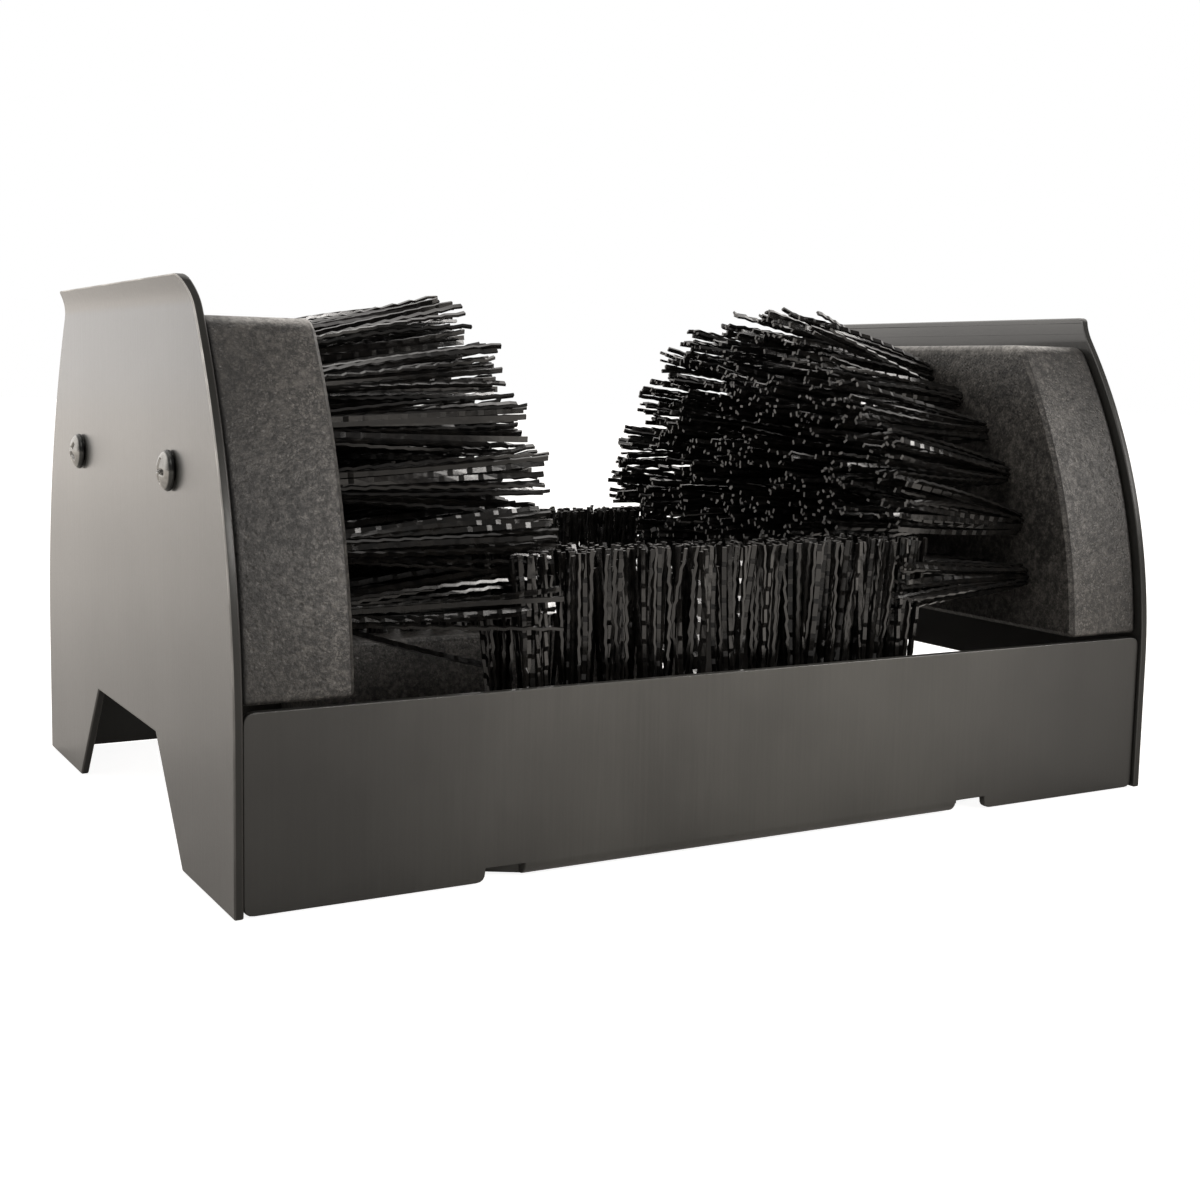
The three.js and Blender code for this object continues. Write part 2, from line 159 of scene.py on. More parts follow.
def mixValue(tree, factor, a, b):
    return node(tree, "ShaderNodeMix", {0: factor, 2: a, 3: b}).outputs[0]


def mixColour(tree, factor, a, b):
    return node(tree, "ShaderNodeMix", {0: factor, 6: a, 7: b}, data_type="RGBA").outputs[2]


def split(tree, vector):
    return node(tree, "ShaderNodeSeparateXYZ", {"Vector": vector}).outputs


def facing(tree, axis):
    # How far the surface faces along an axis, from -1 to 1
    return split(tree, tree.nodes.new("ShaderNodeTexCoord").outputs["Normal"])[axis]


def bump(tree, height, strength, depth):
    made = node(tree, "ShaderNodeBump", {"Height": height, "Strength": strength, "Distance": depth})
    return made.outputs["Normal"]


def newGroup(name, inputs, outputs):
    group = bpy.data.node_groups.new(name, "ShaderNodeTree")
    for label, kind, value in inputs:
        socket = group.interface.new_socket(name=label, in_out="INPUT", socket_type=kind)
        if value is not None:
            socket.default_value = value
    for label in outputs:
        group.interface.new_socket(name=label, in_out="OUTPUT", socket_type="NodeSocketFloat")
    source = group.nodes.new("NodeGroupInput")
    target = group.nodes.new("NodeGroupOutput")
    return group, source.outputs, target.inputs


# Sheet grain: long fine streaks along Z, faint clouds and an orange peel, for coated sheet

sheetGrainLook = {"cloudScale": 22.0, "peelScale": 1500.0}


def makeSheetGrain(look):
    group, source, target = newGroup(
        "sheetGrain",
        [("Vector", "NodeSocketVector", None), ("Streak Scale", "NodeSocketFloat", 900.0),
         ("Along", "NodeSocketFloat", 0.03)],
        ["Streaks", "Clouds", "Orange Peel"],
    )
    vector = source["Vector"]
    place = split(group, vector)
    stretched = node(group, "ShaderNodeCombineXYZ", {"X": place["X"], "Y": place["Y"],
                                                     "Z": product(group, place["Z"], source["Along"])})
    streaks = noise(group, stretched.outputs["Vector"], source["Streak Scale"], 3.0, 0.6)
    clouds = noise(group, vector, look["cloudScale"], 3.0, 0.5)
    put(group, target["Streaks"], remap(group, streaks, *wide))
    put(group, target["Clouds"], remap(group, clouds, *wide))
    put(group, target["Orange Peel"], noise(group, vector, look["peelScale"], 2.0, 0.5))
    return group


# Moulded grain: coarse mottling, pits, flecks and fine creases of a pressed block

blockGrainLook = {"mottleScale": 560.0, "broadScale": 40.0, "broadShare": 0.25,
                  "mottleSpread": (0.41, 0.59), "fleckSpread": (0.57, 0.68), "fleckHeight": 0.6,
                  "pitScale": 620.0, "pitReach": 0.35, "creaseScale": 900.0, "creaseWidth": (0.075, 0.025),
                  "patchScale": 210.0, "patchSpread": (0.35, 0.55), "patchLeast": 0.4}


def makeBlockGrain(look):
    # A crease runs where its noise passes through the middle, fainter in some patches
    group, source, target = newGroup(
        "blockGrain",
        [("Vector", "NodeSocketVector", None), ("Fleck Scale", "NodeSocketFloat", 900.0)],
        ["Mottle", "Flecks", "Creases", "Height"],
    )
    vector = source["Vector"]
    mottle = mixValue(group, look["broadShare"], noise(group, vector, look["mottleScale"], 5.0, 0.75),
                      noise(group, vector, look["broadScale"], 3.0, 0.5))
    flecks = noise(group, vector, source["Fleck Scale"], 3.0, 0.7)
    pits = node(group, "ShaderNodeTexVoronoi", {"Vector": vector, "Scale": look["pitScale"]})
    pitDepth = remap(group, pits.outputs["Distance"], 0.0, look["pitReach"])
    wander = noise(group, vector, look["creaseScale"], 4.0, 0.65)
    patches = remap(group, noise(group, vector, look["patchScale"], 2.0), *look["patchSpread"],
                    look["patchLeast"], 1.0)
    creases = remap(group, apart(group, wander, 0.5), *look["creaseWidth"])
    put(group, target["Creases"], product(group, creases, patches))
    put(group, target["Mottle"], remap(group, mottle, *look["mottleSpread"]))
    put(group, target["Flecks"], remap(group, flecks, *look["fleckSpread"]))
    put(group, target["Height"], mixValue(group, look["fleckHeight"], pitDepth, flecks))
    return group


sheetGrain = makeSheetGrain(sheetGrainLook)
blockGrain = makeBlockGrain(blockGrainLook)


# Materials. A pair of places, called a reach, says where an effect starts and where it is full.
# Most are distances from the middle along X, cornerReach is one along Y, and topReach, lowReach
# and aboveRails are heights.

def newMaterial(name):
    material = bpy.data.materials.new(name)
    material.use_nodes = True
    tree = material.node_tree
    tree.nodes.clear()
    output = tree.nodes.new("ShaderNodeOutputMaterial")
    shader = tree.nodes.new("ShaderNodeBsdfPrincipled")
    tree.links.new(shader.outputs["BSDF"], output.inputs["Surface"])
    coordinates = tree.nodes.new("ShaderNodeTexCoord").outputs["Object"]
    return material, tree, shader.inputs, coordinates


coatedSteelLook = {
    "dark": (0.0155, 0.0153, 0.014, 1), "light": (0.025, 0.0248, 0.0225, 1), "roughLow": 0.34,
    "roughHigh": 0.42, "specular": 0.5, "coatRough": 0.205, "coatIor": 1.52, "coatThin": 0.84,
    "streakScale": 1100.0, "streakAlong": 0.03, "streakShare": 0.3, "toneSpread": (0.2, 0.8),
    "speckleScale": 1300.0, "speckleShare": 0.4, "peelShare": 0.85, "peelBump": 0.1,
    "peelDepth": 0.0002, "cutCoat": 1.0, "cutSpecular": 0.5, "faceTurn": (0.3, 0.5),
    "middleHighlight": (0.059, 0.0575, 0.051, 1), "middleHighlightShare": 0.0, "middleHighlightReach": (0.115, 0.05),
    "middleHighlightLeast": 0.6, "endCoat": 1.0, "endReach": (0.08, 0.135)}


def makeCoatedSteel(name, look):
    # Where cutCoat and cutSpecular are low, faces that don't look along X, which on an end plate
    # are its cut edges, take little gloss. Where the highlight share is above 0, the middle of the
    # sheet's length is painted lighter in clouds, a painted highlight, and endCoat is the gloss that
    # its two ends keep, lowered there as a painted shade.
    material, tree, shader, coordinates = newMaterial(name)
    grain = node(tree, "ShaderNodeGroup", {"Vector": coordinates, "Streak Scale": look["streakScale"],
                                           "Along": look["streakAlong"]}, node_tree=sheetGrain).outputs
    tone = mixValue(tree, look["streakShare"], grain["Clouds"], grain["Streaks"])
    away = apart(tree, split(tree, coordinates)["X"])
    # Painted highlight: the middle of the sheet's length painted lighter in clouds
    middleHighlightShare = product(tree, remap(tree, away, *look["middleHighlightReach"], 0.0, look["middleHighlightShare"]),
                      remap(tree, tone, *look["toneSpread"], look["middleHighlightLeast"], 1.0))
    steel = mixColour(tree, tone, look["dark"], look["light"])
    put(tree, shader["Base Color"], mixColour(tree, middleHighlightShare, steel, look["middleHighlight"]))
    put(tree, shader["Roughness"], remap(tree, tone, 0, 1, look["roughLow"], look["roughHigh"]))
    speckle = remap(tree, noise(tree, coordinates, look["speckleScale"], 3.0, 0.7), *narrow)
    cover = mixValue(tree, look["speckleShare"], tone, speckle)
    onFace = remap(tree, apart(tree, facing(tree, "X")), *look["faceTurn"])
    # Coat weight is lowered at the two ends, a painted shade, and on cut edges
    put(tree, shader["Coat Weight"], product(
        tree, remap(tree, cover, *look["toneSpread"], look["coatThin"], 1.0),
        remap(tree, away, *look["endReach"], 1.0, look["endCoat"]),
        mixValue(tree, onFace, look["cutCoat"], 1.0)))
    specular = look["specular"]
    if look["cutSpecular"] < specular:
        specular = mixValue(tree, onFace, look["cutSpecular"], specular)
    put(tree, shader["Specular IOR Level"], specular)
    put(tree, shader["Coat IOR"], look["coatIor"])
    put(tree, shader["Coat Roughness"], look["coatRough"])
    height = mixValue(tree, look["peelShare"], grain["Streaks"], grain["Orange Peel"])
    put(tree, shader["Normal"], bump(tree, height, look["peelBump"], look["peelDepth"]))
    return material


arrisLook = {"coat": (0.021, 0.0195, 0.018, 1), "rubbed": (0.8, 0.785, 0.76, 1), "rough": 0.34,
             "patchScale": 90.0, "patchLeast": 0.4, "patchMost": 0.75, "lowReach": (0.02, 0.12),
             "lowest": 0.1, "outwardTurn": (-0.2, -0.4)}


def makeArris(name, look):
    # The coat is rubbed thin in patches along the left plate's outer arrises, less near the floor,
    # where the bare metal is partly wear and partly a painted highlight
    material, tree, shader, coordinates = newMaterial(name)
    patches = remap(tree, noise(tree, coordinates, look["patchScale"], 2.0), *narrow,
                    look["patchLeast"], look["patchMost"])
    upward = remap(tree, split(tree, coordinates)["Z"], *look["lowReach"], look["lowest"], 1.0)
    # Bare metal in patches, partly wear and partly a painted highlight
    share = product(tree, remap(tree, facing(tree, "X"), *look["outwardTurn"]), patches, upward)
    put(tree, shader["Base Color"], mixColour(tree, share, look["coat"], look["rubbed"]))
    put(tree, shader["Metallic"], share)
    put(tree, shader["Roughness"], look["rough"])
    return material


blockLook = {
    "dark": (0.01, 0.0094, 0.0088, 1), "light": (0.115, 0.108, 0.099, 1), "roughLow": 0.36,
    "roughHigh": 0.52, "bump": 0.95, "bumpDepth": 0.0003, "fleckScale": 1150.0, "fleckShare": 0.2,
    "fleck": (0.19, 0.178, 0.165, 1), "aboveRails": (0.040, 0.047), "pastFace": (0.11505, 0.1157),
    "worn": (0.135, 0.127, 0.119, 1), "wornReach": (0.1265, 0.1158), "wornShare": 0.5,
    "wornLeast": 0.35, "outerReach": (0.120, 0.1415), "outerShade": 0.55, "arris": 0.1161,
    "arrisLine": (0.0004, 0.00016), "arrisShade": 0.5, "creaseShade": 0.75, "creaseWorn": 0.95,
    "jointShade": (0.004, 0.004, 0.004, 1), "jointShadeReach": (0.1408, 0.1416),
    "topHighlight": (0.44, 0.425, 0.4, 1), "topReach": (0.1333, 0.1353), "topTurn": (0.75, 0.4),
    "innerReach": (0.139, 0.126), "outerLeast": 0.15, "cornerReach": (0.058, 0.062),
    "middleLeast": 0.45}


def makeBlockMaterial(name, look):
    # Mottled and creased, darker towards the end plate as painted shade, and rubbed lighter towards
    # the bristle face, with a fine painted dark line along the inner arris and painted shade in the
    # joint with the end plate.
    # The top is painted lighter too, a painted highlight in patches, most on its bristle side and
    # at its two corners. All of that is above the rails.
    material, tree, shader, coordinates = newMaterial(name)
    grain = node(tree, "ShaderNodeGroup", {"Vector": coordinates, "Fleck Scale": look["fleckScale"]},
                 node_tree=blockGrain).outputs
    place = split(tree, coordinates)
    away = apart(tree, place["X"])
    upper = remap(tree, place["Z"], *look["aboveRails"])
    face = product(tree, upper, remap(tree, away, *look["pastFace"]))
    rubbed = product(tree, face, remap(tree, away, *look["wornReach"]))
    patchy = remap(tree, grain["Mottle"], 0, 1, look["wornLeast"], 1.0)
    # A fine dark line along the inner arris, a painted shade
    line = product(tree, face, remap(tree, apart(tree, away, look["arris"]), *look["arrisLine"]))
    # Darker towards the end plate, a painted shade
    outer = product(tree, upper, remap(tree, away, *look["outerReach"], 0.0, look["outerShade"]))
    creased = product(tree, grain["Creases"],
                      remap(tree, rubbed, 0, 1, look["creaseShade"], look["creaseWorn"]))
    # Dark in the joint with the end plate, a painted shade
    jointShade = product(tree, upper, remap(tree, away, *look["jointShadeReach"]))
    # Painted highlight along the top, most at its corners and on its bristle side
    top = product(
        tree, remap(tree, place["Z"], *look["topReach"]),
        remap(tree, apart(tree, place["Y"]), *look["cornerReach"], look["middleLeast"], 1.0),
        remap(tree, apart(tree, facing(tree, "Y")), *look["topTurn"]),
        remap(tree, away, *look["innerReach"], look["outerLeast"], 1.0), patchy)
    layers = [(outer, "dark"), (product(tree, rubbed, patchy, look["wornShare"]), "worn"),
              (product(tree, grain["Flecks"], look["fleckShare"]), "fleck"), (creased, "dark"),
              (product(tree, line, look["arrisShade"]), "dark"), (jointShade, "jointShade"), (top, "topHighlight")]
    base = mixColour(tree, grain["Mottle"], look["dark"], look["light"])
    for share, colour in layers:
        base = mixColour(tree, share, base, look[colour])
    put(tree, shader["Base Color"], base)
    put(tree, shader["Roughness"], remap(tree, grain["Mottle"], 0, 1, look["roughHigh"],
                                         look["roughLow"]))
    put(tree, shader["Normal"], bump(tree, grain["Height"], look["bump"], look["bumpDepth"]))
    return material


filamentShine = {"floor": 0.85, "side": 0.6, "shadedSheen": 0.3, "sideReach": (0.062, 0.07),
                 "shadeTop": (0.12, 0.075), "shadeFoot": (0.052, 0.062)}
bristleLook = {"dark": (0.005, 0.005, 0.005, 1), "light": (0.012, 0.011, 0.010, 1),
               "rough": (0.13, 0.23), "toneScale": 260.0, "roughScale": 700.0}
cutLook = {"dark": (0.05, 0.048, 0.046, 1), "light": (0.15, 0.145, 0.14, 1),
           "rough": (0.5, 0.7), "toneScale": 260.0, "roughScale": 700.0}


def makeBristleMaterial(name, look):
    # The side brushes' lower filaments have less sheen, a painted shade, between a foot and a top
    # height, and soles keep the floor brushes' bright
    material, tree, shader, coordinates = newMaterial(name)
    shine = filamentShine
    tone = remap(tree, noise(tree, coordinates, look["toneScale"], 2.0), *narrow)
    put(tree, shader["Base Color"], mixColour(tree, tone, look["dark"], look["light"]))
    put(tree, shader["Roughness"], remap(tree, noise(tree, coordinates, look["roughScale"], 2.0),
                                         *wide, *look["rough"]))
    place = split(tree, coordinates)
    beside = remap(tree, apart(tree, place["X"]), *shine["sideReach"])
    # Less sheen low on the side brushes, a painted shade
    shadedSheen = product(tree, beside, remap(tree, place["Z"], *shine["shadeTop"]),
                    remap(tree, place["Z"], *shine["shadeFoot"]))
    clean = mixValue(tree, beside, shine["floor"], shine["side"])
    put(tree, shader["Specular IOR Level"], mixValue(tree, shadedSheen, clean, shine["shadedSheen"]))
    return material


screwLook = {"dark": (0.30, 0.295, 0.285, 1), "light": (0.42, 0.415, 0.40, 1), "rough": (0.2, 0.28),
             "wearScale": 420.0, "bumpScale": 1800.0, "bump": 0.08, "bumpDepth": 0.0001,
             "rimShade": (0.018, 0.02, 0.02, 1), "rimShadeShare": 0.9, "rimShadeReach": (0.1469, 0.1466),
             "outsidePlate": (0.140, 0.142)}


def makeScrewMaterial(name, look):
    # Worn steel, painted dark round the side screws' rims and down in their recesses, a painted shade
    material, tree, shader, coordinates = newMaterial(name)
    wear = noise(tree, coordinates, look["wearScale"], 3.0)
    away = apart(tree, split(tree, coordinates)["X"])
    # Painted shade round the side screws' rims and in their recesses
    rimShade = product(tree, remap(tree, away, *look["rimShadeReach"]),
                    remap(tree, away, *look["outsidePlate"]), look["rimShadeShare"])
    steel = mixColour(tree, remap(tree, wear, *narrow), look["dark"], look["light"])
    put(tree, shader["Base Color"], mixColour(tree, rimShade, steel, look["rimShade"]))
    put(tree, shader["Metallic"], 1.0)
    put(tree, shader["Roughness"], remap(tree, wear, *wide, *look["rough"]))
    put(tree, shader["Normal"], bump(tree, noise(tree, coordinates, look["bumpScale"], 3.0),
                                     look["bump"], look["bumpDepth"]))
    return material


railSteel = makeCoatedSteel("railSteel", {**coatedSteelLook, "middleHighlightShare": 0.9, "endCoat": 0.35,
                                         "coatThin": 0.6})
plateSteel = makeCoatedSteel("plateSteel", {**coatedSteelLook, "cutCoat": 0.15, "cutSpecular": 0.25,
                                           "coatThin": 0.76})
weldCoat = makeCoatedSteel("weldCoat", {**coatedSteelLook, "roughLow": 0.42, "roughHigh": 0.6,
                                       "peelBump": 0.3})
rubbedArrisHighlight = makeArris("rubbedArrisHighlight", arrisLook)
blockMaterial = makeBlockMaterial("mouldedBlock", blockLook)
bristleMaterial = makeBristleMaterial("bristleFilament", bristleLook)
cutMaterial = makeBristleMaterial("bristleCut", cutLook)
screwMaterial = makeScrewMaterial("screwSteel", screwLook)
print("materials made")


# The sheet-steel frame

sheetFrame = {"mergeWithin": 0.06, "flatWithin": 0.6, "segments": 3, "channelArris": 0.28,
              "channelAngle": 50, "plateArris": 0.5, "plateAngle": 32}


def bevelledCopy(nodeName, name, width, angle, materials):
    # A CAD node's shape, merged, with its flat faces made whole. Its edges that turn by more than
    # angle degrees are rounded into arrises, which take the last of the materials.
    shape = bmesh.new()
    shape.from_mesh(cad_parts[nodeName].data)
    bmesh.ops.remove_doubles(shape, verts=shape.verts, dist=sheetFrame["mergeWithin"] * mm)
    bmesh.ops.dissolve_limit(shape, angle_limit=math.radians(sheetFrame["flatWithin"]),
                             verts=shape.verts, edges=shape.edges)
    mesh = bpy.data.meshes.new(name)
    shape.to_mesh(mesh)
    shape.free()
    piece = addPiece(name, mesh, materials)
    mesh.polygons.foreach_set("material_index", np.zeros(len(mesh.polygons), np.int32))
    mesh.polygons.foreach_set("use_smooth", np.ones(len(mesh.polygons), bool))
    bevel = piece.modifiers.new("arrises", "BEVEL")
    bevel.width = width * mm
    bevel.segments = sheetFrame["segments"]
    bevel.limit_method = "ANGLE"
    bevel.angle_limit = math.radians(angle)
    bevel.use_clamp_overlap = False
    bevel.material = len(materials) - 1
    flat = piece.modifiers.new("flatFaces", "WEIGHTED_NORMAL")
    flat.weight = 100
    return piece


channel = bevelledCopy("base_channel", "channelBody", sheetFrame["channelArris"],
                       sheetFrame["channelAngle"], [railSteel])
standFor(channel, "coated_steel", "base_channel")
for sideName, materials in (("left", [plateSteel, rubbedArrisHighlight]), ("right", [plateSteel])):
    plate = bevelledCopy(f"{sideName}_end_plate", f"{sideName}Plate", sheetFrame["plateArris"],
                         sheetFrame["plateAngle"], materials)
    standFor(plate, "coated_steel", f"{sideName}_end_plate")
print("sheet frame made")


# Weld beads: a fillet carried up the inside corner, its face swelling once a ripple

weldBead = {"leg": 3.4, "bottom": 7.0, "top": 41.0, "ripplePitch": 1.6, "ripple": 0.22, "taper": 2.0,
            "endShare": 0.45, "hollow": 0.72, "innerFace": 142.4, "railInner": 93.65, "steps": 130,
            "around": 14}


def makeWeldBead(side, end):
    # The section at height z is a quarter of a rounded triangle. Its reach is
    # leg - ripple (1 - |sin(pi z / ripplePitch)|), less over the taper at each end of the bead.
    look = weldBead
    height = np.linspace(look["bottom"], look["top"], look["steps"])
    swell = look["leg"] + look["ripple"] * (np.abs(np.sin(np.pi * height / look["ripplePitch"])) - 1)
    fromEnd = np.minimum(height - look["bottom"], look["top"] - height)
    reach = (swell * np.minimum(1, fromEnd / look["taper"] + look["endShare"]))[:, None]
    angle = np.linspace(0, np.pi / 2, look["around"])[None, :]
    bulge = look["hollow"] + (1 - look["hollow"]) * np.abs(np.cos(2 * angle))
    x = look["innerFace"] - reach * np.cos(angle) * bulge
    y = look["railInner"] - reach * np.sin(angle) * bulge
    z = np.repeat(height[:, None], look["around"], 1)
    corner = np.stack([np.full(look["steps"], look["innerFace"]),
                       np.full(look["steps"], look["railInner"]), height], -1)[:, None, :]
    points = np.concatenate([np.stack([x, y, z], -1), corner], 1) * np.array([side, end, 1.0])
    return points.reshape(-1, 3), tubeFaces(look["steps"], look["around"] + 1, side * end < 0)


for sideName, side in sides:
    for endName, end in ends:
        points, faces = makeWeldBead(side, end)
        bead = addMesh(f"{sideName}{endName.capitalize()}Bead", points, faces, [weldCoat], smooth=40)
        standFor(bead, "weld", f"{sideName}_{endName}_weld")
print("weld beads made")


# Brush blocks: an outline in a plane, carried through the block with rounded arrises

def outlineNormals(outline):
    # Outward at each point, and longer at a corner, so that both its edges move by the same amount
    ahead = np.roll(outline, -1, 0) - outline
    behind = outline - np.roll(outline, 1, 0)
    ahead /= np.linalg.norm(ahead, axis=1, keepdims=True)
    behind /= np.linalg.norm(behind, axis=1, keepdims=True)
    tangent = ahead + behind
    tangent /= np.linalg.norm(tangent, axis=1, keepdims=True)
    normal = np.stack([tangent[:, 1], -tangent[:, 0]], -1)
    stretch = 1 / np.maximum(0.5, np.sum(normal * np.stack([ahead[:, 1], -ahead[:, 0]], -1), 1))
    return normal * stretch[:, None]


def roundedPrism(outline, start, stop, startRadius, stopRadius, startRound=1.0, steps=5):
    # Each ring stands at depth start + r (1 - sin a) and is drawn in by r (1 - cos a): a quarter
    # circle at each end of the prism. Where startRound is 0, the first quarter circle is a flat
    # bevel instead. The first radius and startRound may hold one value for each outline point.
    # The outline runs anticlockwise.
    normal = outlineNormals(outline)
    turn = np.linspace(np.pi / 2, 0, steps + 1)[:, None]
    bevel = 1 - turn / (np.pi / 2)
    rise = bevel + (1 - np.sin(turn) - bevel) * startRound
    drawn = 1 - bevel + (bevel - np.cos(turn)) * startRound
    whole = np.ones((steps + 1, len(outline)))
    back = turn[::-1]
    along = np.concatenate([start + startRadius * rise * whole,
                            stop - stopRadius * (1 - np.sin(back)) * whole])
    inset = np.concatenate([startRadius * drawn * whole, stopRadius * (1 - np.cos(back)) * whole])
    flat = outline[None] - normal[None] * inset[..., None]
    return along, flat


def arcPoints(centre, radius, first, last, count):
    angle = np.linspace(first, last, count)
    return np.stack([centre[0] + radius * np.cos(angle), centre[1] + radius * np.sin(angle)], -1)


sideBlock = {"halfDepth": 97.5, "edgeRadius": 181.0, "straightHeight": 40.0, "inset": 2.3,
             "bottom": 48.5, "top": 136.5, "cornerRadius": 6.0, "footRadius": 1.2, "outer": 142.4,
             "inner": 115.0, "innerArris": 1.2, "topArris": 1.7, "outerArris": 1.6,
             "roundFrom": 0.55, "roundOver": 0.4, "edgeSteps": 60, "cornerSteps": 9, "footSteps": 5}


def sideBlockOutline(look):
    # The block's front and rear follow the plate's arc, drawn in by the inset, up to a flat top
    centre = look["halfDepth"] - look["edgeRadius"]
    radius = look["edgeRadius"] - look["inset"]
    cornerHeight = look["top"] - look["cornerRadius"]
    turn = math.asin((cornerHeight - look["straightHeight"]) / (radius - look["cornerRadius"]))
    cornerCentre = centre + (radius - look["cornerRadius"]) * math.cos(turn)
    first = math.asin((look["bottom"] + look["footRadius"] - look["straightHeight"]) / radius)
    front = arcPoints((centre, look["straightHeight"]), radius, first, turn, look["edgeSteps"])
    corner = arcPoints((cornerCentre, cornerHeight), look["cornerRadius"], turn, np.pi / 2,
                       look["cornerSteps"])
    foot = arcPoints((front[0, 0] - look["footRadius"], front[0, 1]), look["footRadius"],
                     -np.pi / 2, 0, look["footSteps"])
    half = np.concatenate([foot[:-1], front, corner[1:]])
    return np.concatenate([half, half[::-1] * np.array([-1, 1])])


def makeSideBlock(side):
    # The arris round the bristle face is a flat bevel but for the top, where it is rounded
    look = sideBlock
    outline = sideBlockOutline(look)
    upward = np.clip((outlineNormals(outline)[:, 1] - look["roundFrom"]) / look["roundOver"], 0, 1)
    radius = look["innerArris"] + (look["topArris"] - look["innerArris"]) * upward
    along, flat = roundedPrism(outline, look["inner"], look["outer"], radius, look["outerArris"],
                               upward)
    points = np.stack([along * side, flat[..., 0], flat[..., 1]], -1)
    return points.reshape(-1, 3), tubeFaces(*along.shape, side < 0)


for sideName, side in sides:
    points, faces = makeSideBlock(side)
    block = addMesh(f"{sideName}Block", points, faces, [blockMaterial], smooth=35)
    standFor(block, "block", f"{sideName}_brush_block")

floorBlock = {"halfLength": 70.0, "bottom": 2.6, "top": 35.6, "centre": 73.0, "halfDepth": 18.0,
              "corner": 3.0, "cornerSteps": 8, "topArris": 1.6, "bottomArris": 0.6}


def makeFloorBlock(end):
    # A rectangle with rounded corners, carried upwards
    look = floorBlock
    inner = look["halfLength"] - look["corner"]
    wide = look["halfDepth"] - look["corner"]
    corners = [((inner, -wide), -np.pi / 2), ((inner, wide), 0), ((-inner, wide), np.pi / 2),
               ((-inner, -wide), np.pi)]
    outline = np.concatenate([
        arcPoints(centre, look["corner"], first, first + np.pi / 2, look["cornerSteps"])
        for centre, first in corners])
    along, flat = roundedPrism(outline, look["bottom"], look["top"], look["bottomArris"],
                               look["topArris"])
    points = np.stack([flat[..., 0], flat[..., 1] + end * look["centre"], along], -1)
    return points.reshape(-1, 3), tubeFaces(*along.shape)


for endName, end in ends:
    points, faces = makeFloorBlock(end)
    block = addMesh(f"{endName}FloorBlock", points, faces, [blockMaterial], smooth=35)
    standFor(block, "block", f"{endName}_floor_brush_block")
print("brush blocks made")


# Filaments: flat ribbons whose middle line zigzags once a crimp

filament = {"width": 1.4, "thickness": 0.75, "crimpPitch": 5.2, "crimp": 0.2, "crimps": (0.6, 1.25),
            "longShare": 0.72, "shift": (0.02, 0.85), "sunk": 0.8, "twist": 0.45, "scatter": 0.05}


def makeFilaments(root, tip, bow, width, turns=()):
    # Each middle line is root + s (tip - root) + 4 s (1 - s) bow, plus the crimp: crimp to one
    # side and to the other in turn, at s = (n + 0 or longShare - shift) / waves for the n-th
    # wave, so that a long facet and a short one follow each other. The section is a rectangle
    # with its wide side across the crimp, and each filament is a little twisted along its length.
    # The arrays hold one row a filament, and turns gives the last filaments' turns about their axes.
    count = len(root)
    axis = tip - root
    length = np.linalg.norm(axis, axis=1)
    axis /= length[:, None]
    waves = int(round(np.median(length) / filament["crimpPitch"]))
    longFirst = random.uniform(0, 1, count) < 0.5
    first = np.where(longFirst, filament["longShare"], 1 - filament["longShare"])
    shift = random.uniform(*filament["shift"], count) * first
    bends = np.arange(2 * waves + 1)
    place = np.floor(bends / 2)[None] + (bends % 2)[None] * first[:, None]
    share = np.clip((place - shift[:, None]) / (waves - 0.5 * shift[:, None]), 0, 1)
    share[:, -1] = 1
    share = share[..., None]
    isUpright = np.abs(axis[:, 2:3]) >= 0.8
    upward = np.cross(axis, np.where(isUpright, [[0.0, 1.0, 0.0]], [[0.0, 0.0, 1.0]]))
    upward /= np.linalg.norm(upward, axis=1, keepdims=True)
    turn = random.uniform(0, 2 * np.pi, count)
    turn[count - len(turns):] = turns
    twist = twistRandom.normal(0, filament["twist"], count)
    turn = turn[:, None, None] + (share - 0.5) * twist[:, None, None]
    across = upward[:, None] * np.cos(turn) + np.cross(axis, upward)[:, None] * np.sin(turn)
    side = np.cross(axis[:, None], across)
    middle = root[:, None] + share * (tip - root)[:, None] + 4 * share * (1 - share) * bow[:, None]
    crimp = filament["crimp"] * random.uniform(*filament["crimps"], count)
    zigzag = np.where(bends % 2 == 0, 1.0, -1.0)[None, :, None] * crimp[:, None, None]
    middle = middle + zigzag * across
    halfWide = (width / 2)[:, None, None] * side
    halfThick = filament["thickness"] / 2 * across
    corners = np.stack([middle + halfWide + halfThick, middle - halfWide + halfThick,
                        middle - halfWide - halfThick, middle + halfWide - halfThick], 2)
    steps = len(bends)
    caps = np.array([[3, 2, 1, 0], [0, 1, 2, 3]]) + np.array([[0], [(steps - 1) * 4]])
    single = np.concatenate([ringQuads(steps, 4), caps])
    quads = single[None] + (np.arange(count) * steps * 4)[:, None, None]
    isCut = np.zeros((count, len(single)), np.int32)
    isCut[:, -1] = 1
    return corners.reshape(-1, 3), quads.reshape(-1, 4), isCut.ravel()


def tuftDisc(tufts, perTuft):
    # Filaments of a tuft on a sunflower spiral: the k-th of n stands at radius sqrt((k + 0.5) / n)
    # and is turned by k golden angles. Gives the offsets as shares of the tuft's radius.
    index = np.tile(np.arange(perTuft), tufts)
    phase = np.repeat(random.uniform(0, 2 * np.pi, tufts), perTuft)
    radius = np.sqrt((index + 0.5) / perTuft)
    angle = index * math.pi * (3 - math.sqrt(5)) + phase
    offset = np.stack([np.cos(angle), np.sin(angle)], -1) * radius[:, None]
    return offset + random.normal(0, filament["scatter"], offset.shape)


